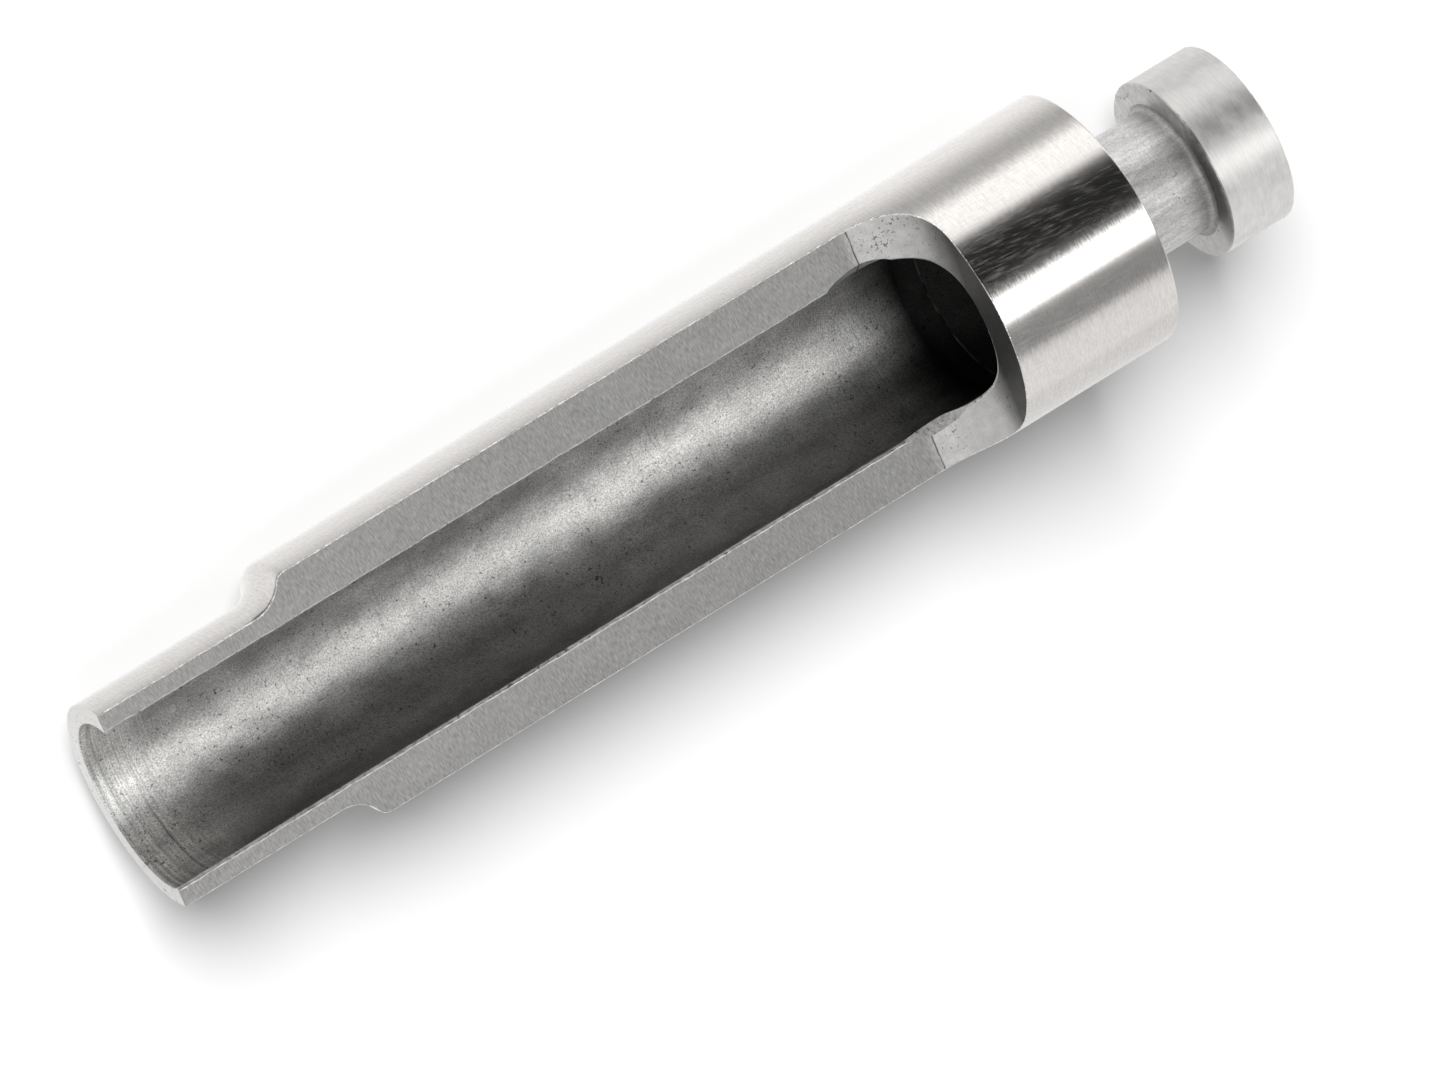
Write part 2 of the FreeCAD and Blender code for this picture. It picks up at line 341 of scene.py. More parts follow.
@dataclass
class TurnedOutside:
    """The turned and ground outside: reduced front, body, neck and head."""

    body_radius: float
    front_end: float
    head_end: float
    front_radius: float = 8.0 * MM
    corner: float = -66.3 * MM
    hollow_radius: float = 2.8 * MM
    corner_round: float = 0.8 * MM
    rim_round: float = 0.15 * MM
    neck_radius: float = 4.85 * MM
    neck_end: float = 7.0 * MM
    fillet: float = 0.5 * MM
    head_radius: float = 7.0 * MM
    rows: tuple[int, ...] = (40, 10, 24, 8, 24, 16)
    round_rows: int = 7

    def radius(self, x: Array) -> Array:
        """Gives the outer radius ahead of the shoulder.

        It is the reduced radius, then a quarter-like hollow that rises, then a rounding
        that touches both the hollow and the full radius.

        Args:
            x: places along the axis.

        Returns:
            The radius at each place.
        """
        start, touch, full = self.hollow()
        run = np.clip(x - start, 0.0, self.hollow_radius)
        hollow = self.front_radius + self.hollow_radius - np.sqrt(self.hollow_radius**2 - run**2)
        back = np.clip(full - x, 0.0, self.corner_round)
        rounding = self.body_radius - self.corner_round + np.sqrt(self.corner_round**2 - back**2)
        return np.where(x < touch, hollow, rounding)

    def hollow(self) -> tuple[float, float, float]:
        """Follows the hollow and the rounding behind it.

        Returns:
            Where the hollow begins along the axis, where it passes into the rounding, and
            where the full radius begins.
        """
        reach = self.hollow_radius + self.corner_round
        drop = self.front_radius + self.hollow_radius - self.body_radius
        start = self.corner - math.sqrt(self.hollow_radius**2 - drop**2)
        full = start + math.sqrt(reach**2 - (drop + self.corner_round) ** 2)
        return start, start + (full - start) * self.hollow_radius / reach, full

    def profile(self, start: float) -> list[tuple[Array, Finish]]:
        """Gives the profile from the opening's wall back to the middle of the head's end.

        Straight runs join the corners, and a quadratic curve rounds each of them.

        Args:
            start: where the profile starts along the axis.

        Returns:
            Stretches of (place along the axis, radius) rows, each with its finish.
        """
        corners = np.array([
            (start, self.body_radius), (0.0, self.body_radius), (0.0, self.neck_radius),
            (self.neck_end, self.neck_radius), (self.neck_end, self.head_radius),
            (self.head_end, self.head_radius), (self.head_end, 0.0)])
        sizes = [self.rim_round, self.fillet, self.fillet, self.rim_round, self.rim_round]
        straight = [Finish.GROUND_ROUND, Finish.TURNED_FACE, Finish.TURNED_NECK,
                    Finish.TURNED_FACE, Finish.TURNED_HEAD, Finish.TURNED_HEAD]
        rounded = [Finish.GROUND_ROUND, Finish.TURNED_NECK, Finish.TURNED_NECK,
                   Finish.TURNED_FACE, Finish.TURNED_HEAD]
        share = np.linspace(0, 1, self.round_rows)[:, None]
        rounds = [bent(tip + unit(before - tip) * size, tip, tip + unit(after - tip) * size, share)
                  for before, tip, after, size in zip(corners, corners[1:], corners[2:], sizes)]
        starts = [corners[0]] + [curve[-1] for curve in rounds]
        ends = [curve[0] for curve in rounds] + [corners[-1]]
        stretches = []
        for i, (low, high, count) in enumerate(zip(starts, ends, self.rows)):
            stretches.append((low + (high - low) * np.linspace(0, 1, count)[:, None], straight[i]))
            if i < len(rounds):
                stretches.append((rounds[i], rounded[i]))
        return stretches


@dataclass
class MilledOpening:
    """The opening milled along the body: level lips, a quarter round run-out and a wall.

    Its surface is named by two numbers: the run along the milled path, from 0 where the
    run-out starts, and the distance across the punch.
    """

    height: float = 1.6 * MM
    runout: float = -18.3 * MM
    cutter: float = 5.0 * MM
    ground_depth: float = 0.03 * MM
    blend_run: float = 0.62 * MM
    blend_rise: float = 0.022 * MM
    step_run: float = 0.05 * MM

    def at(self, run: Array) -> tuple[Array, Array]:
        """Follows the milled path.

        The lips were ground a hair lower than the run-out. Where the wheel stopped they
        curve up a little, and a small step leads to the milled run-out.

        Args:
            run: distance along the path.

        Returns:
            Place along the axis and height.
        """
        turn = np.clip(run / self.cutter, 0.0, TOP)
        x = self.runout + np.minimum(run, 0.0) + self.cutter * np.sin(turn)
        z = self.height + self.cutter * (1 - np.cos(turn))
        z = z + np.maximum(run - self.cutter * TOP, 0.0)
        blend = np.clip((run + self.blend_run) / (self.blend_run - self.step_run), 0.0, 1.0)
        step = np.clip((run + self.step_run) / self.step_run, 0.0, 1.0)
        sunk = self.ground_depth - self.blend_rise * blend**2
        return x, z - sunk * (1 - step)

    def normal(self, run: Array) -> Array:
        """Gives the surface's normals, square to the path's own direction.

        Args:
            run: distance along the path.

        Returns:
            Unit normals, out of the steel.
        """
        small = 0.002 * MM
        x_low, z_low = self.at(run - small)
        x_high, z_high = self.at(run + small)
        return unit(np.stack([z_low - z_high, np.zeros_like(run), x_high - x_low], -1))

    def surface(self, run: Array, across: Array) -> Array:
        """Returns the points at these runs along the path and distances across."""
        x, z = self.at(run)
        return np.stack([x, across, z], -1)


@dataclass
class ChipBore:
    """The blind bore that the chips fall through, down to its drill point."""

    radius: float = 6.5 * MM
    end: float = -11.3 * MM
    half_angle: float = math.radians(59.0)
    ring: float = 0.08 * MM

    def depth(self) -> float:
        """Returns how deep the drill point is: the radius over its half angle's tangent."""
        return self.radius / math.tan(self.half_angle)


@dataclass
class CornerRelief:
    """The hand relief at both inner corners where the lips turn up: a ring cut from above."""

    centre: float = -18.6 * MM
    radius: float = 7.1 * MM
    floor: float = math.radians(50.0)
    wall: float = math.radians(65.0)
    fade_from: float = -16.6 * MM
    fade_to: float = -15.3 * MM
    passes: int = 12

    def reach(self, x: Array, z: Array, height: float) -> Array:
        """Gives how far out the relief cuts into the milled surface.

        The edge of the cut is a circle, seen from above. It shrinks up the run-out by the
        slope of the relief's upper side.

        Args:
            x: places along the axis.
            z: heights of the milled surface there.
            height: height of the lips.

        Returns:
            Distance across, and 0 where the relief doesn't reach.
        """
        circle = self.radius - np.maximum(z - height, 0.0) / math.tan(self.wall)
        return np.sqrt(np.maximum(circle**2 - (x - self.centre) ** 2, 0.0))

    def bore_angle(self, x: Array, bore: float, height: float) -> Array:
        """Gives where the relief's sloping floor comes out in the bore.

        The floor falls towards the middle. Its height is put into the bore's circle over
        and over until the two agree.

        Args:
            x: places along the axis.
            bore: the bore's radius.
            height: height of the lips.

        Returns:
            Angles above the level plane, seen along the axis.
        """
        across = np.full_like(x, bore)
        for _ in range(self.passes):
            ring = np.hypot(x - self.centre, across)
            z = height - (self.radius - ring) * math.tan(self.floor)
            across = np.sqrt(np.maximum(bore**2 - z**2, 0.0))
        return np.where(ring < self.radius, np.arcsin(np.clip(z / bore, -1, 1)), TOP)

    def share(self, x: Array) -> Array:
        """Returns 1 where the relief is whole and 0 past its upper end."""
        s = np.clip((x - self.fade_to) / (self.fade_from - self.fade_to), 0.0, 1.0)
        return s * s * (3 - 2 * s)


@dataclass(frozen=True)
class Divisions:
    """How many rows or columns each stretch of the surface gets, and where they close up."""

    front_round: int = 5
    front: int = 28
    hollow: int = 15
    corner: int = 10
    middle: int = 76
    close: int = 36
    close_from: float = -8.5 * MM
    blend: int = 7
    runout: int = 34
    wall: int = 24
    fine: int = 4000
    lip: int = 12
    outer_edge: int = 5
    inner_edge: int = 6
    arc: int = 58
    bore_end: int = 8
    cone: int = 14


@dataclass
class OpeningEdges:
    """The four lines that bound the opening on one side, one point for each station.

    The first stations, as many as `lips` says, lie along the lips. The front's rounding
    insets each of them by `inset`. From outside in, the lines lie on the body, by place and
    angle, on the milled surface, by run and distance across, there again, and in the bore.
    The bore's rows end at `seam_x` on its bottom. The sharp edges would lie between the
    lines, and `eased` is 1 where the relief has taken the inner one away.
    """

    side: Side
    lips: int
    inset: Array
    outer_x: Array
    outer_angle: Array
    outer_run: Array
    outer_across: Array
    inner_run: Array
    inner_across: Array
    bore_x: Array
    bore_angle: Array
    seam_x: Array
    sharp: Array
    inner_sharp: Array
    eased: Array


@dataclass
class Punch:
    """The whole punch, as one closed mesh of smooth patches.

    Wear rounds the opening's outer edge by `edge_round`. A file broke the inner one by
    `edge_break`, give or take `edge_wave`. The line where the lips' grinding ends strays by
    `line_wave`, and the surface follows it as far as `line_reach`. The bore's rows lean
    forward on their way down, by up to `seam_lead`.
    """

    outside: TurnedOutside
    opening: MilledOpening = field(default_factory=MilledOpening)
    bore: ChipBore = field(default_factory=ChipBore)
    relief: CornerRelief = field(default_factory=CornerRelief)
    count: Divisions = Divisions()
    edge_round: float = 0.065 * MM
    edge_break: float = 0.27 * MM
    edge_wave: float = 0.055 * MM
    edge_wave_length: float = 5.3 * MM
    near_seed: int = 11
    far_seed: int = 29
    seam_lead: float = 1.45 * MM
    seam_bend: float = 1.5
    far_relief_back: float = 1.1 * MM
    ease_run: float = 0.1 * MM
    least_knee: float = 0.25
    line_wave: float = 0.1 * MM
    line_wave_length: float = 2.6 * MM
    line_reach: float = 0.9 * MM
    line_seed: int = 5

    def lip_runs(self) -> tuple[Array, Array]:
        """Chooses the stations along the lips, closer together where the form changes.

        Returns:
            Runs along the milled path, and how far the front's rounding insets each.
        """
        outside, path, count = self.outside, self.opening, self.count
        front, hollow, touch, full = [
            place - path.runout for place in (outside.front_end, *outside.hollow())]
        turn = np.linspace(0, TOP, count.front_round)
        rounding = front + self.edge_round * (1 - np.cos(turn))
        rise = math.asin((touch - hollow) / outside.hollow_radius)
        lean = math.asin((full - touch) / outside.corner_round)
        runs = np.concatenate([
            rounding,
            np.linspace(rounding[-1], hollow, count.front)[1:],
            hollow + outside.hollow_radius * np.sin(np.linspace(0, rise, count.hollow)[1:]),
            full - outside.corner_round * np.sin(np.linspace(lean, 0, count.corner)[1:]),
            np.linspace(full, count.close_from, count.middle)[1:],
            np.linspace(count.close_from, -path.blend_run, count.close)[1:],
            np.linspace(-path.blend_run, -path.step_run, count.blend)[1:],
            [0.0]])
        inset = np.zeros_like(runs)
        inset[:len(turn)] = self.edge_round * (1 - np.sin(turn))
        return runs, inset

    def edges(self, side: Side) -> OpeningEdges:
        """Works out the lines that bound the opening on one side.

        Each line is the sharp edge moved a set distance over the surface beside it, square
        to the edge, with that surface unrolled. The distance is the outer edge's rounding,
        or the hand-filed edge break inside.

        Args:
            side: which half of the punch.

        Returns:
            The lines, in order from the cutting face to the top of the wall.
        """
        path, e = self.opening, self.edge_round
        body, hole = self.outside.body_radius, self.bore.radius
        lips, inset = self.lip_runs()
        x, z = path.at(lips)
        z = z - inset
        outer, inner = self.outside.radius(x) - inset, hole + inset
        wave, seed = self.edge_wave_length, self.near_seed if side is Side.NEAR else self.far_seed
        cut = self.edge_break + self.edge_wave * ripple(lips, wave, seed)
        lip_across, lip_inner = np.sqrt(outer**2 - z**2), np.sqrt(inner**2 - z**2)

        # Run-out and wall on the outside: the path's angle, then the angle round the body
        turn = np.linspace(0, TOP, self.count.runout)[1:]
        top_z = path.height + path.cutter
        rise = np.linspace(math.asin(top_z / body), TOP, self.count.wall)[1:]
        run = np.concatenate([path.cutter * turn, path.cutter * TOP + body * np.sin(rise) - top_z])
        fall = np.concatenate([np.sin(turn), np.ones_like(rise)])
        ahead = np.concatenate([np.cos(turn), np.zeros_like(rise)])
        x_out = path.runout + path.cutter * fall
        z_out = np.concatenate([path.height + path.cutter * (1 - np.cos(turn)), body * np.sin(rise)])
        across = np.sqrt(np.maximum(body**2 - z_out**2, 0.0))
        angle = np.arctan2(z_out, across)
        on_body = unit(np.stack([ahead * across, body * fall], -1))
        on_path = unit(np.stack([across, -z_out * fall], -1))

        # The same on the inside, evenly spaced along the edge by its length
        dense = math.acos((top_z - hole) / path.cutter) * np.sin(np.linspace(0, TOP, self.count.fine))
        z_dense = path.height + path.cutter * (1 - np.cos(dense))
        y_dense = np.sqrt(np.maximum(hole**2 - z_dense**2, 0.0))
        rows = evenly(np.stack([path.cutter * np.sin(dense), y_dense, z_dense], -1), len(run) + 1)[1:]
        bend = np.interp(rows, np.arange(len(dense)), dense)
        x_in = path.runout + path.cutter * np.sin(bend)
        z_in = path.height + path.cutter * (1 - np.cos(bend))
        z_in[-1] = hole
        y_in = np.sqrt(np.maximum(hole**2 - z_in**2, 0.0))
        in_bore = unit(np.stack([np.cos(bend) * y_in, hole * np.sin(bend)], -1))
        in_path = unit(np.stack([y_in, -z_in * np.sin(bend)], -1))
        way_up = np.linspace(0, 1, len(bend))
        fading = self.edge_wave * (1 - way_up) ** 2
        cut_in = self.edge_break + fading * ripple(path.cutter * bend, wave, seed)

        inner_run = np.concatenate([lips, path.cutter * bend - cut_in * in_path[:, 1]])
        inner_across = np.concatenate([lip_inner + cut, y_in + cut_in * in_path[:, 0]])
        bore_x = np.concatenate([x, x_in + cut_in * in_bore[:, 1]])
        bore_angle = np.concatenate([np.arcsin(z / inner) - cut / inner,
                                     np.arctan2(z_in, y_in) - cut_in * in_bore[:, 0] / hole])

        # The relief widens the edge break at both corners; on the far side it sits further back
        relief = self.relief if side is Side.NEAR else replace(
            self.relief, centre=self.relief.centre + self.far_relief_back)
        x_mill, z_mill = path.at(inner_run)
        reach = relief.reach(x_mill, z_mill, path.height) * (relief.share(x_mill) > 0)
        eased = np.clip((reach - inner_across) / self.ease_run, 0.0, 1.0)
        inner_across = np.maximum(inner_across, reach)
        low = np.minimum(relief.bore_angle(bore_x, hole, path.height), bore_angle)
        bore_angle = bore_angle + (low - bore_angle) * relief.share(bore_x)
        inner_across[-1] = 0.0
        bore_angle[-1] = TOP

        sign = side.value
        lead = self.edge_break * in_bore[:, 1] + self.seam_lead * way_up**self.seam_bend
        return OpeningEdges(
            side=side, lips=len(lips), inset=np.concatenate([inset, np.zeros(len(run))]),
            outer_x=np.concatenate([x, x_out + e * on_body[:, 1]]),
            outer_angle=np.concatenate([np.arcsin(z / outer) - e / outer,
                                        angle - e * on_body[:, 0] / body]),
            outer_run=np.concatenate([lips, run + e * on_path[:, 1]]),
            outer_across=sign * np.concatenate([lip_across - e, across - e * on_path[:, 0]]),
            inner_run=inner_run, inner_across=sign * inner_across,
            bore_x=bore_x, bore_angle=bore_angle, seam_x=np.concatenate([x, x_in + lead]),
            sharp=np.stack([np.concatenate([x, x_out]), sign * np.concatenate([lip_across, across]),
                            np.concatenate([z, z_out])], -1),
            inner_sharp=np.stack([np.concatenate([x, x_in]), sign * np.concatenate([lip_inner, y_in]),
                                  np.concatenate([z, z_in])], -1),
            eased=eased)

    def build(self) -> Skin:
        """Lays all patches of both halves.

        Returns:
            The punch's skin, ready to weld.
        """
        skin = Skin()
        for side in Side:
            line = self.edges(side)
            front = self.lay_opening(skin, line)
            outer = self.lay_outside(skin, line)
            inner = self.lay_bore(skin, line)
            self.lay_cutting_face(skin, front, outer, inner)
        return skin

    def lay_opening(self, skin: Skin, line: OpeningEdges) -> Array:
        """Lays the outer edge's rounding, the milled surface and the edge break.

        The milled surface runs straight across the path. The other two are quadratic curves
        from line to line, pulled towards the sharp edge between them.

        Args:
            skin: takes the patches.
            line: the lines that bound the opening.

        Returns:
            The points of the first station, from the outer edge to the bore.
        """
        radius = self.outside.radius(line.outer_x) - line.inset
        body_line = turned(line.outer_x, radius, line.outer_angle, line.side)
        bore_line = turned(line.bore_x, self.bore.radius + line.inset, line.bore_angle, line.side)
        spots = between(np.stack([line.outer_run, line.outer_across], -1),
                        np.stack([line.inner_run, line.inner_across], -1),
                        np.linspace(0, 1, self.count.lip))
        milled = self.opening.surface(spots[..., 0], spots[..., 1])
        milled[..., 2] -= line.inset[:, None]
        near_line = np.exp(-(spots[..., 0] / self.line_reach) ** 2)
        wave = ripple(spots[..., 1].ravel(), self.line_wave_length, self.line_seed)
        milled[..., 0] += self.line_wave * wave.reshape(near_line.shape) * near_line
        milled_normals = self.opening.normal(spots[..., 0])

        s = np.linspace(0, 1, self.count.outer_edge)[None, :, None]
        edge = bent(body_line[:, None], line.sharp[:, None], milled[:, :1], s)
        level_out = np.array([0.0, 1.0, 1.0])
        edge_normals = (1 - s) * unit(body_line * level_out)[:, None] + s * milled_normals[:, :1]
        pull = np.maximum(line.eased, self.least_knee)[:, None]
        middle = 0.5 * (milled[:, -1] + bore_line)
        knee = line.inner_sharp + (middle - line.inner_sharp) * pull
        t = np.linspace(0, 1, self.count.inner_edge)[None, :, None]
        broken = bent(milled[:, -1:], knee[:, None], bore_line[:, None], t)
        inside = unit(-bore_line * level_out)[:, None]
        broken_normals = grid_normals(broken, inside + milled_normals[:, -1:])

        # The ground lips end in a small upright step, and the milled run-out goes on from there
        skin.add(edge, edge_normals, Finish.WORN_EDGE)
        ground = line.lips - 1
        skin.add(milled[:ground], milled_normals[:ground], Finish.GROUND_FLAT)
        step = milled[ground - 1:line.lips]
        skin.add(step, np.broadcast_to([-1.0, 0.0, 1.0], step.shape), Finish.MILLED)
        runout_normals = milled_normals[ground:].copy()
        runout_normals[0] = [0.0, 0.0, 1.0]
        skin.add(milled[ground:], runout_normals, Finish.MILLED)
        relieved = int(np.argmax(line.eased > 0)) - 1
        skin.add(broken[:relieved + 1], broken_normals[:relieved + 1], Finish.FILED)
        # The far side's relief gets the pale relieved steel, partly painted light; the near one stays
        # milled
        skin.add(broken[relieved:], broken_normals[relieved:],
                 Finish.MILLED if line.side is Side.NEAR else Finish.RELIEVED)
        return np.concatenate([edge[0], milled[0][1:], broken[0][1:]])

    def lay_outside(self, skin: Skin, line: OpeningEdges) -> Array:
        """Lays the outside: arcs from the lips down to the bottom, then the turned profile.

        Args:
            skin: takes the patches.
            line: the lines that bound the opening.

        Returns:
            The points along the outside of the cutting face.
        """
        last = line.lips + self.count.runout - 1
        x = line.outer_x[:last]
        r = self.outside.radius(x) - line.inset[:last]
        start = line.outer_angle[:last, None]
        angle = start + (BOTTOM - start) * np.linspace(0, 1, self.count.arc)
        ahead = turned(x[:, None], r[:, None], angle, line.side)
        slope = np.stack([-np.gradient(r), np.gradient(x)], -1)
        slope[-1] = [0.0, 1.0]
        skin.add(ahead, turned(slope[:, :1], slope[:, 1:], angle, line.side), Finish.GROUND_ROUND)

        ring = np.concatenate([line.outer_angle[last - 1:][::-1], angle[-1][1:]])
        ring[0] = TOP
        for stretch, finish in self.outside.profile(float(x[-1])):
            way = np.gradient(stretch, axis=0)
            rows = np.broadcast_to(ring, (len(stretch), len(ring)))
            skin.add(turned(stretch[:, :1], stretch[:, 1:], rows, line.side),
                     turned(-way[:, 1:], way[:, :1], rows, line.side), finish)
        return ahead[0]

    def lay_bore(self, skin: Skin, line: OpeningEdges) -> Array:
        """Lays the bore: arcs up to the opening, full rings, and the drill point's cone.

        Args:
            skin: takes the patches.
            line: the lines that bound the opening.

        Returns:
            The points along the inside of the cutting face.
        """
        bore, count, side = self.bore, self.count, line.side
        shares = np.linspace(0, 1, count.arc)
        hole = bore.radius + line.inset
        start = line.bore_angle[:, None]
        arcs = start + (BOTTOM - start) * shares
        x = between(line.bore_x[:, None], line.seam_x[:, None], shares)[..., 0]
        bored = turned(x, hole[:, None], arcs, side)
        slope = unit(np.stack([-np.gradient(hole), np.gradient(line.bore_x)], -1))
        # Only the front's rounding leans; everywhere else the bore is level
        steep = 0.3
        inward = np.where(slope[:, 1:] > steep, -1.0, -slope[:, 1:])
        skin.add(bored, turned(-slope[:, :1], inward, arcs, side), Finish.BORED)

        rows = np.broadcast_to(arcs[-1], (count.bore_end, count.arc))
        way = bore.end - bore.ring - x[-1]
        x_wall = x[-1] + way * np.linspace(0, 1, count.bore_end)[:, None]
        wall, wall_normals = turned(x_wall, bore.radius, rows, side), turned(0 * x_wall, -1.0, rows, side)
        skin.add(wall, wall_normals, Finish.BORED)
        rows = np.broadcast_to(arcs[-1], (count.cone, count.arc))
        s = np.linspace(bore.ring / bore.radius, 1, count.cone)[:, None]
        cone = turned(bore.end + s * bore.depth(), bore.radius * (1 - s), rows, side)
        tilt = turned(np.full_like(s, -math.sin(bore.half_angle)), -math.cos(bore.half_angle), rows, side)
        skin.add(cone, tilt, Finish.BORED)
        # The ring between the wall and the cone: metal, painted near black with painted shade
        skin.add(np.stack([wall[-1], cone[0]]), np.stack([wall_normals[-1], tilt[0]]), Finish.SCRAPED)
        return bored[0]

    def lay_cutting_face(self, skin: Skin, front: Array, outer: Array, inner: Array) -> None:
        """Lays the cutting face: straight rows from its outside to the bore.

        The rows are spaced as the lip's own points at the lip, and evenly at the bottom.

        Args:
            skin: takes the patch.
            front: the points across the lip.
            outer: the points along the outside.
            inner: the points along the bore.
        """
        length = np.linalg.norm(np.diff(front, axis=0), axis=1)
        places = np.concatenate([[0.0], np.cumsum(length)]) / length.sum()
        even = np.linspace(0, 1, len(places))
        spacing = places + (even - places) * np.linspace(0, 1, self.count.arc)[:, None]
        face = between(outer, inner, spacing)
        face[0] = front
        skin.add(face, np.broadcast_to([-1.0, 0.0, 0.0], face.shape), Finish.GROUND_END)


@dataclass(frozen=True)
class Grain(Effect):
    """A noise about 0.5: grains in a mm along X, Y and Z, finer layers, slant in degrees."""

    per_mm: Triple
    detail: float = 2.0
    turn: float = 0.0

    def add(self, tree: Tree) -> Source:
        """Adds the noise, slanted as seen from above.

        Args:
            tree: the material's nodes.

        Returns:
            The noise, nearly all of it from 0.3 to 0.7.
        """
        slanted = add_node(tree, "Mapping", inputs={
            "Vector": add_node(tree, "TexCoord").outputs["Object"],
            "Rotation": (0.0, 0.0, math.radians(self.turn))})
        scaled = add_node(tree, "VectorMath", {"operation": "MULTIPLY"},
                          {0: slanted, 1: tuple(n / MM for n in self.per_mm)})
        return add_node(tree, "TexNoise", inputs={
            "Vector": scaled, "Scale": 1.0, "Detail": self.detail, "Roughness": 0.55})


@dataclass(frozen=True)
class Place(Effect):
    """The place along one axis, X, Y or Z, in metres."""

    axis: str

    def add(self, tree: Tree) -> Source:
        """Adds the coordinate."""
        spot = add_node(tree, "TexCoord").outputs["Object"]
        return add_node(tree, "SeparateXYZ", inputs={0: spot}).outputs[self.axis]


@dataclass(frozen=True)
class Sum(Effect):
    """An effect times a factor, plus another effect or a number."""

    first: Effect
    factor: float
    second: Effect | float

    def add(self, tree: Tree) -> Source:
        """Adds the sum."""
        return add_node(tree, "Math", {"operation": "MULTIPLY_ADD"},
                        {0: self.first, 1: self.factor, 2: self.second})


@dataclass(frozen=True)
class Level(Effect):
    """A pattern turned into a level: `dark` where it is low, and `light` where it is high.

    The pattern is a noise unless the level says how low and how high it gets.
    """

    pattern: Effect
    dark: Effect | float
    light: Effect | float
    low: float = 0.3
    high: float = 0.7

    def add(self, tree: Tree) -> Source:
        """Adds the level."""
        return add_node(tree, "MapRange", inputs={
            "Value": self.pattern, "From Min": self.low, "From Max": self.high,
            "To Min": self.dark, "To Max": self.light})


@dataclass(frozen=True)
class Off(Effect):
    """The distance from a spot, counted in full along an axis of weight 1.

    The spot is in millimetres. So is the unevenness: how far the distance strays, so that
    marks look found and not drawn.
    """

    spot: Triple
    axes: Triple
    unevenness: float

    def add(self, tree: Tree) -> Source:
        """Adds the distance.

        Args:
            tree: the material's nodes.

        Returns:
            The distance, in metres.
        """
        away = add_node(tree, "VectorMath", {"operation": "SUBTRACT"}, {
            0: add_node(tree, "TexCoord").outputs["Object"], 1: tuple(n * MM for n in self.spot)})
        counted = add_node(tree, "VectorMath", {"operation": "MULTIPLY"}, {0: away, 1: self.axes})
        blotches = Grain((1.3, 1.3, 1.3))
        stray = Sum(blotches, self.unevenness * MM, -self.unevenness * MM / 2)
        moved = add_node(tree, "VectorMath", {"operation": "ADD"}, {0: counted, 1: stray})
        return add_node(tree, "VectorMath", {"operation": "LENGTH"}, {0: moved}).outputs["Value"]


@dataclass(frozen=True)
class Strokes(Effect):
    """A normal tipped round the axis by a pattern, so that each stroke shines apart."""

    pattern: Effect
    tilt: float

    def add(self, tree: Tree) -> Source:
        """Adds the tipped normal.

        Args:
            tree: the material's nodes.

        Returns:
            The normal, tipped by a tangent of up to `tilt`.
        """
        normal = add_node(tree, "NewGeometry").outputs["Normal"]
        around = add_node(tree, "VectorMath", {"operation": "CROSS_PRODUCT"},
                          {0: (1.0, 0.0, 0.0), 1: normal})
        step = add_node(tree, "VectorMath", {"operation": "SCALE"}, {
            0: around, "Scale": Level(self.pattern, -self.tilt, self.tilt, 0.2, 0.8)})
        moved = add_node(tree, "VectorMath", {"operation": "ADD"}, {0: normal, 1: step})
        return add_node(tree, "VectorMath", {"operation": "NORMALIZE"}, {0: moved})


@dataclass(frozen=True)
class Relief(Effect):
    """A bump of a pattern, which stands `depth` metres high where it is 1."""

    pattern: Effect
    depth: float
    normal: Effect | None = None

    def add(self, tree: Tree) -> Source:
        """Adds the bump, on a normal of its own where it has one."""
        inputs = {"Height": self.pattern, "Distance": self.depth, "Strength": 1.0}
        return add_node(tree, "Bump", inputs=inputs | ({"Normal": self.normal} if self.normal else {}))


@dataclass(frozen=True)
class Around(Effect):
    """The direction round the punch's axis, across which the hairs stretch reflections."""

    def add(self, tree: Tree) -> Source:
        """Adds the tangent."""
        return add_node(tree, "Tangent", {"direction_type": "RADIAL", "axis": "X"})


def pits(per_mm: float, gather: float, dark: float, low: float) -> Level:
    """Gives dark pits, gathered in some places: the lowest spots of a noise.

    Args:
        per_mm: how many spots lie in a millimetre.
        gather: how strongly the pits gather.
        dark: the level inside a pit.
        low: where in the noise a pit is at its darkest.

    Returns:
        The level, 1 outside the pits.
    """
    rim = 0.05
    clusters = Grain((0.3, 0.3, 0.3), 1.0)
    spots = Grain((per_mm, per_mm, per_mm), 3.0)
    return Level(Sum(spots, 1.0, Sum(clusters, gather, -gather / 2)), dark, 1.0, low, low + rim)


@dataclass(frozen=True)
class Steel:
    """Bare tool steel with one finish.

    One or more tints multiply its colour. The shader's other inputs go by their own names.
    """

    name: str
    colour: str
    inputs: dict[str, Effect | float]
    tints: tuple[Effect, ...]

    def material(self) -> bpy.types.Material:
        """Makes the material.

        Returns:
            The material, a metal unless its inputs say otherwise.
        """
        made = bpy.data.materials.new(self.name)
        made.use_nodes = True
        tree = made.node_tree
        colour = linear(self.colour)[:3]
        for tint in self.tints:
            colour = add_node(tree, "VectorMath", {"operation": "SCALE"}, {0: colour, "Scale": tint})
        feed(tree, tree.nodes["Principled BSDF"],
             {"Base Color": colour, "Metallic": 1.0, **self.inputs})
        return made


X = Place("X")
Y = Place("Y")
Z = Place("Z")

# Real hairs of the round grinding are about 0.02 mm apart; they are drawn at 0.1 mm to show
ROUND_HAIRS = Grain((9.5, 1.6, 1.6))
ROUND_RINGS = Grain((9.0, 0.2, 0.2), 1.0)
SMOKE = Grain((0.7, 6.5, 6.5), 6.0, 5.0)

# Wheel marks of about 0.03 mm, drawn at 0.1 mm to show
FLAT_HAIRS = Grain((11.0, 2.0, 2.0), 3.0, -7.0)

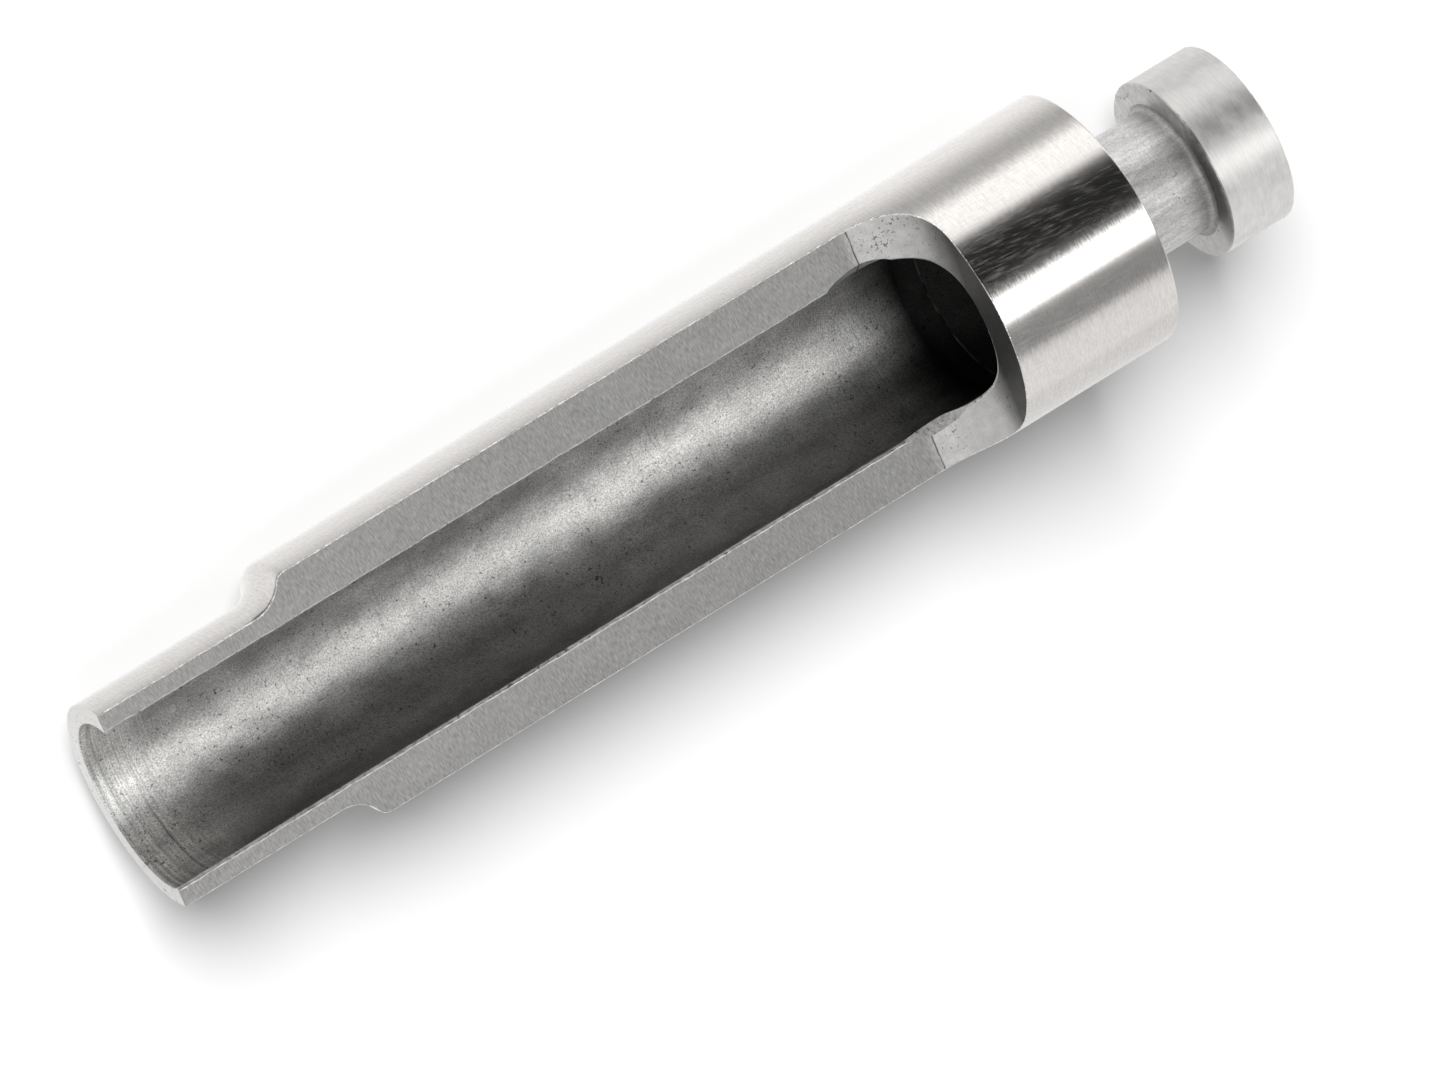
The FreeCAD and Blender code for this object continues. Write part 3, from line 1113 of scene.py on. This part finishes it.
# Real grain and speckles of about 0.05 mm, drawn at 0.1 mm to show
MILLED_GRAIN = Grain((9.0, 9.0, 9.0), 1.0)
SPECKLE = Grain((9.0, 9.0, 9.0))
SCALE = Grain((0.35, 0.6, 0.6), 3.0)
DRILL_RINGS = Grain((4.0, 0.25, 0.25))
# A spot by the cutting edge: painted light lifts it, and nicks and a scratch lie by it
FRONT_SPOT = Off((-82.0, -5.6, -3.0), (0.5, 1.0, 0.6), 0.8)

# Real turning rings are about 0.05 mm apart; they are drawn at 0.1 mm and more to show
NECK_GRAIN = Grain((6.0, 8.0, 8.0))
HEAD_RINGS = Grain((9.0, 0.8, 0.8))
HEAD_MOTTLE = Grain((0.9, 0.9, 0.9), 5.0)

FILED_GRAIN = Grain((2.0, 4.0, 4.0), 3.0)
TORN_GRAIN = Grain((3.0, 3.0, 3.0), 3.0)
# Nicks on the worn edge; the light spots of their tint are painted glints
NICKS_AND_GLINTS = Grain((1.6, 5.0, 5.0))
FACE_MOTTLE = Grain((1.3, 1.3, 1.3), 4.0)
END_GRAIN = Grain((3.0, 5.0, 1.2))

STEELS: dict[Finish, Steel] = {
    # Ground round: bright, with short hairs round the axis that fray the edges of every
    # reflection. Handling has left a thin film in smoky streaks, wiped thinner towards the
    # shoulder. It scatters light, so it shows in the dark reflections. The reduced front is
    # duller. Painted shade lies in the corner where its hollow meets the lips: a dark line that
    # stands for the shade of a small step there.
    Finish.GROUND_ROUND: Steel("round_ground_steel", "#D8D5D2", {
        "Roughness": Level(SMOKE, 0.138, 0.162), "Anisotropic": 0.5, "Tangent": Around(),
        "Normal": Relief(ROUND_RINGS, 0.0006 * MM, Strokes(ROUND_HAIRS, 0.014)),
        "Metallic": Level(Sum(SMOKE, 1.0, Level(X, 0.01, -0.07, -10 * MM, 0.0)),
                          1.0, 0.83, 0.47, 0.7),
    }, (
        Level(ROUND_HAIRS, 0.91, 1.07),
        Level(ROUND_RINGS, 0.97, 1.03),
        # Painted shade: a dark line in the corner where the hollow meets the lips
        Level(Off((-67.7, 0.0, 1.6), (0.12, 0.0, 1.0), 0.6), 0.12, 1.0, 0.12 * MM, 0.36 * MM),
        Level(X, 0.95, 1.0, -69 * MM, -66 * MM),
        Level(X, 0.91, 1.0, -19 * MM, -13 * MM),
    )),
    # Ground flat across the lips: an even grey with fine slanting hairs and a slow change of
    # tone, with a painted highlight on the band where the grinding ends
    Finish.GROUND_FLAT: Steel("flat_ground_steel", "#BDBCBB", {
        "Roughness": 0.36, "Anisotropic": 0.3, "Normal": Relief(FLAT_HAIRS, 0.004 * MM),
    }, (
        Level(FLAT_HAIRS, 0.71, 1.23),
        Level(Grain((0.5, 0.5, 0.5), 3.0), 0.95, 1.04),
        # Painted highlight: a lighter band where the grinding ends
        Level(X, 0.97, 1.22, -19.0 * MM, -18.5 * MM),
    )),
    # Left as the cutter made it: matt and pale, pitted in clusters and a little lighter at the
    # foot. Painted shade makes it darker up the wall, and a painted shadow line lies at the
    # small step where the grinding ends
    Finish.MILLED: Steel("milled_steel", "#C8C7C6", {
        "Roughness": 0.48, "Normal": Relief(MILLED_GRAIN, 0.006 * MM),
    }, (
        Level(Grain((1.2, 1.2, 1.2), 3.0), 0.86, 1.05),
        Level(MILLED_GRAIN, 0.93, 1.05),
        pits(4.5, 0.3, 0.35, 0.29),
        # Painted shadow: a dark line at the small step where the grinding ends
        Level(Off((-18.31, 0.0, 0.0), (1.0, 0.0, 0.0), 0.13), 0.25, 1.0, 0.03 * MM, 0.1 * MM),
        Level(Z, 1.12, 1.0, 1.6 * MM, 3.0 * MM),
        # Painted shade: darker up the wall
        Level(Z, 1.0, 0.25, 4.2 * MM, 6.4 * MM),
    )),
    # The sharp edge broken with a file: a grey uneven line
    Finish.FILED: Steel("filed_steel", "#C8C7C6", {
        "Roughness": 0.42, "Normal": Relief(FILED_GRAIN, 0.02 * MM),
    }, (Level(FILED_GRAIN, 0.6, 1.15, 0.3, 0.65), pits(3.2, 0.2, 0.3, 0.33))),
    # Relieved by hand with a coarse file: matt and torn. Only the far side's relief has it,
    # and its pale colour is partly painted light, standing for the light that this relief catches
    Finish.RELIEVED: Steel("relieved_steel", "#F0EFEE", {
        "Roughness": 0.8, "Normal": Relief(TORN_GRAIN, 0.03 * MM),
    }, (Level(TORN_GRAIN, 0.75, 1.05), pits(3.6, 0.2, 0.3, 0.33))),
    # The outer edge of the opening, rounded by wear: a thin light line with dark nicks. Its pale
    # colour and the light spots of the nicks' tint are partly the wear's polish and partly
    # painted glints
    Finish.WORN_EDGE: Steel("worn_steel", "#E6E5E4", {
        "Roughness": 0.24, "Normal": Relief(NICKS_AND_GLINTS, 0.04 * MM),
    }, (Level(NICKS_AND_GLINTS, 0.72, 1.1, 0.4, 0.62),)),
    # The ring at the bottom of the bore: metal, painted near black with painted shade like the
    # blind end, and a little less dark in some stretches
    Finish.SCRAPED: Steel("bore_end_ring_steel", "#E6E5E4", {
        "Roughness": 0.5,
    }, (Level(Grain((0.3, 0.3, 0.3)), 0.01, 0.09, 0.42, 0.62),)),
    # The bore: drilled and hardened, so darker, matt and speckled with pits and scale. Painted
    # shade darkens its far wall, and painted shade makes the blind end near black; there the
    # steel is no metal, so its shine goes as well. A painted highlight brightens it from 40 mm
    # ahead of the shoulder back, and painted light lifts a spot by the cutting edge, with nicks
    # and a scratch by it. It is lighter by the cutting edge, where the drill's marks are
    # strongest.
    Finish.BORED: Steel("bored_steel", "#C4C3C1", {
        "Roughness": Level(SCALE, 0.44, 0.52), "Specular IOR Level": 0.0,
        "Normal": Relief(Sum(DRILL_RINGS, 0.5, SPECKLE), 0.024 * MM),
        # Painted shade: the blind end loses its shine
        "Metallic": Level(X, 1.0, 0.0, -13.6 * MM, -12.2 * MM),
    }, (
        Level(SPECKLE, 0.6, 1.38),
        Level(SCALE, 0.78, 1.17),
        Level(DRILL_RINGS, 0.85, 1.0, 0.25, 0.42),
        pits(3.4, 0.15, 0.35, 0.31),
        # Painted shade: darker on the far wall
        Level(Y, 0.34, 1.0, -5.2 * MM, -2.8 * MM),
        Level(X, 1.25, 1.0, -82 * MM, -71 * MM),
        # Painted highlight: brighter from 40 mm ahead of the shoulder back
        Level(X, 1.0, 1.15, -46 * MM, -40 * MM),
        # Painted shade: near black towards the blind end
        Level(X, 1.0, 0.035, -17.4 * MM, -13.3 * MM),
        Level(Off((-79.3, -4.6, 0.0), (1.0, 0.045, 0.0), 0.15), 0.45, 1.0, 0.03 * MM, 0.14 * MM),
        # Painted light: a lighter spot by the cutting edge
        Level(FRONT_SPOT, 1.8, 1.0, 1.5 * MM, 4.5 * MM),
        Level(Sum(FRONT_SPOT, 0.04 / MM, Grain((2.2, 2.2, 2.2), 3.0)), 0.4, 1.0, 0.39, 0.43),
        Level(Grain((5.0, 0.12, 0.12), 3.0), Level(X, 0.7, 1.0, -82 * MM, -75 * MM),
              Level(X, 1.4, 1.0, -82 * MM, -75 * MM), 0.35, 0.65),
    )),
    # The neck, turned with a coarse tool and polished lengthwise by the holder: matt, with
    # streaks, a painted highlight along one stretch, and painted shade by the head
    Finish.TURNED_NECK: Steel("turned_neck_steel", "#D4D3D2", {
        "Roughness": 0.55, "Normal": Relief(NECK_GRAIN, 0.014 * MM),
    }, (
        Level(Grain((0.6, 2.6, 2.6), 4.0), 0.82, 1.13),
        Level(NECK_GRAIN, 0.8, 1.12),
        pits(4.5, 0.3, 0.55, 0.27),
        # Painted highlight: a lighter stretch along the neck
        Level(Off((0.0, 3.6, 0.0), (0.0, 1.0, 0.0), 0.5), 1.35, 1.0, 0.6 * MM, 1.8 * MM),
        # Painted shade: darker by the head
        Level(X, 1.0, 0.6, 4.6 * MM, 7.0 * MM),
    )),
    # The head, turned and lightly polished: satin and cloudy, with soft reflections
    Finish.TURNED_HEAD: Steel("turned_head_steel", "#E4E2E0", {
        "Roughness": Level(HEAD_MOTTLE, 0.45, 0.55),
        "Normal": Relief(HEAD_RINGS, 0.003 * MM, Strokes(Grain((9.0, 3.0, 3.0), 1.0), 0.035)),
    }, (Level(HEAD_RINGS, 0.93, 1.05), Level(HEAD_MOTTLE, 0.9, 1.06))),
    # The flat faces at the neck, turned: they dimly mirror the neck, and painted shade darkens
    # them close to it, above it
    Finish.TURNED_FACE: Steel("turned_face_steel", "#C4C2C0", {
        "Roughness": 0.4, "Normal": Relief(FACE_MOTTLE, 0.01 * MM),
    }, (
        Level(FACE_MOTTLE, 0.8, 1.1),
        pits(3.0, 0.3, 0.4, 0.31),
        # Painted shade: a dark crescent close to the neck, above it
        Level(Off((0.0, -0.6, 5.4), (0.0, 0.4, 1.0), 0.5), 0.28, 1.0, 1.0 * MM, 2.2 * MM),
    )),
    # The cutting face, ground square to the axis: satin, with a faint grain and a few pits
    Finish.GROUND_END: Steel("ground_end_steel", "#D4D3D1", {
        "Roughness": 0.28, "Normal": Relief(END_GRAIN, 0.004 * MM),
    }, (
        Level(END_GRAIN, 0.91, 1.06),
        pits(3.2, 0.3, 0.45, 0.31),
        Level(Y, 1.12, 0.88, -4 * MM, 7 * MM),
    )),
}


def link(name: str, data: bpy.types.ID) -> bpy.types.Object:
    """Puts a mesh, lamp or camera into the scene as an object at the origin.

    Args:
        name: the object's name.
        data: what the object shows.

    Returns:
        The new object.
    """
    made = bpy.data.objects.new(name, data)
    bpy.context.scene.collection.objects.link(made)
    return made


@dataclass
class Studio:
    """A plain pale floor, a soft lamp, and a sky of broad white panels.

    The sky's level depends on the angle about the punch's axis, in degrees from straight up
    and towards the camera's side. The floor's level in the steel depends on the place
    across the punch, in millimetres.
    """

    sky_levels: Table = (
        (-180, 1.0), (-56, 1.0), (-47, 0.85), (-41, 0.33), (-14, 0.3), (-9, 2.8), (8, 2.8),
        (14, 0.05), (22, 0.02), (52, 0.02), (63, 0.12), (72, 1.45), (110, 1.5), (180, 1.0))
    floor_levels: Table = (
        (-60, 0.88), (-8, 0.88), (2, 1.15), (14, 1.15), (21, 0.78), (28, 0.55), (42, 0.58),
        (65, 0.95), (110, 1.5))
    floor_colour: str = "#9A9A9A"
    floor_reach: float = 6.0
    lamp_from: Triple = (-0.17, 0.65, 0.742)
    lamp_level: float = 11.2
    lamp_angle: float = math.radians(36.0)

    def floor(self) -> bpy.types.Object:
        """Makes the floor that the punch lies on.

        Returns:
            The floor, with its object at the origin.
        """
        mesh = bpy.data.meshes.new("floor")
        corners = [(x * self.floor_reach, y * self.floor_reach, FLOOR_Z)
                   for x, y in ((-1, -1), (1, -1), (1, 1), (-1, 1))]
        mesh.from_pydata(corners, [], [(0, 1, 2, 3)])
        made = bpy.data.materials.new("matt_floor")
        made.use_nodes = True
        tree = made.node_tree
        tree.nodes.clear()
        matt = add_node(tree, "BsdfDiffuse", inputs={"Color": linear(self.floor_colour)})
        spot = add_node(tree, "SeparateXYZ", inputs={
            0: add_node(tree, "TexCoord").outputs["Object"]})
        level = self.graded(tree, spot.outputs["Y"], self.floor_levels, MM)
        shown = add_node(tree, "MixShader", inputs={
            0: add_node(tree, "LightPath").outputs["Is Glossy Ray"], 1: matt, 2: level})
        add_node(tree, "OutputMaterial", inputs={"Surface": shown})
        mesh.materials.append(made)
        return link("floor", mesh)

    def graded(self, tree: Tree, place: Source, levels: Table, scale: float) -> bpy.types.Node:
        """Adds an emission whose level follows a table, straight from one entry to the next.

        Args:
            tree: the node tree.
            place: the value that the table is looked up by.
            levels: places and levels, in order.
            scale: size of the table's unit in the value's own.

        Returns:
            The emission.
        """
        first, last = levels[0][0], levels[-1][0]
        top = max(level for _, level in levels)
        share = add_node(tree, "MapRange", inputs={
            "Value": place, "From Min": first * scale, "From Max": last * scale})
        table = add_node(tree, "ValToRGB", inputs={"Fac": share})
        stops = table.color_ramp.elements
        while len(stops) < len(levels):
            stops.new(1.0)
        for stop, (spot, level) in zip(stops, levels):
            stop.position = (spot - first) / (last - first)
            stop.color = (level / top, level / top, level / top, 1.0)
        return add_node(tree, "Emission", inputs={"Color": table, "Strength": top})

    def sky(self) -> None:
        """Lights the scene from all round; the camera sees plain white."""
        world = bpy.data.worlds.new("studio")
        world.use_nodes = True
        bpy.context.scene.world = world
        tree = world.node_tree
        tree.nodes.clear()
        way = add_node(tree, "SeparateXYZ", inputs={
            0: add_node(tree, "TexCoord").outputs["Generated"]})
        angle = add_node(tree, "Math", {"operation": "ARCTAN2"},
                         {0: way.outputs["Y"], 1: way.outputs["Z"]})
        panels = self.graded(tree, angle, self.sky_levels, math.radians(1.0))
        white = add_node(tree, "Background", inputs={"Color": linear("#FFFFFF"), "Strength": 1.0})
        shown = add_node(tree, "MixShader", inputs={
            0: add_node(tree, "LightPath").outputs["Is Camera Ray"], 1: panels, 2: white})
        add_node(tree, "OutputWorld", inputs={"Surface": shown})

    def lamp(self, floor: bpy.types.Object) -> None:
        """Adds the lamp that casts the shadow. It lights the floor alone, and never the punch.

        Args:
            floor: the floor.
        """
        data = bpy.data.lights.new("lamp", "SUN")
        data.energy, data.angle = self.lamp_level, self.lamp_angle
        lamp = link("lamp", data)
        lamp.rotation_euler = Vector(self.lamp_from).to_track_quat("Z", "Y").to_euler()
        lit = bpy.data.collections.new("lit_by_lamp")
        lit.objects.link(floor)
        lamp.light_linking.receiver_collection = lit


@dataclass(frozen=True)
class PhotoCamera:
    """The camera where it stood for the photograph."""

    place: Triple = (-264.74 * MM, 296.03 * MM, 647.09 * MM)
    right: Triple = (0.81097304, -0.36441698, 0.45773681)
    down: Triple = (-0.49873234, -0.83962781, 0.21515388)
    lens: float = 268.55
    sensor: float = 36.0
    nearest: float = 0.01
    farthest: float = 50.0

    def add(self) -> None:
        """Makes the scene's camera: its axes are right, up and their cross product."""
        data = bpy.data.cameras.new("camera")
        data.lens, data.sensor_width = self.lens, self.sensor
        data.clip_start, data.clip_end = self.nearest, self.farthest
        camera = link("camera", data)
        right, up = np.array(self.right), -np.array(self.down)
        turn = np.eye(4)
        turn[:3, :3] = np.stack([right, up, np.cross(right, up)], -1)
        turn[:3, 3] = self.place
        camera.matrix_world = Matrix(turn.tolist())
        bpy.context.scene.camera = camera


def main() -> None:
    """Builds the punch, the floor, the light and the camera."""
    logging.basicConfig(level=logging.INFO, format="%(message)s")
    scene = bpy.context.scene
    scene.view_settings.view_transform = "Standard"
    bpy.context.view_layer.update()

    low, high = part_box(NODE)
    outside = TurnedOutside(body_radius=high[1], front_end=low[0], head_end=high[0])
    skin = Punch(outside).build()
    mesh = skin.build("punch_skin")
    for finish in Finish:
        mesh.materials.append(STEELS[finish].material())
    piece = link("nibbler_punch", mesh)
    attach(piece, "root")
    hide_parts(NODE)
    LOG.info("punch: %d patches, %d faces", len(skin.patches), len(mesh.polygons))

    studio = Studio()
    floor = studio.floor()
    studio.sky()
    studio.lamp(floor)
    PhotoCamera().add()
    LOG.info("studio: floor, sky, lamp and camera")


if __name__ == "__main__":
    main()
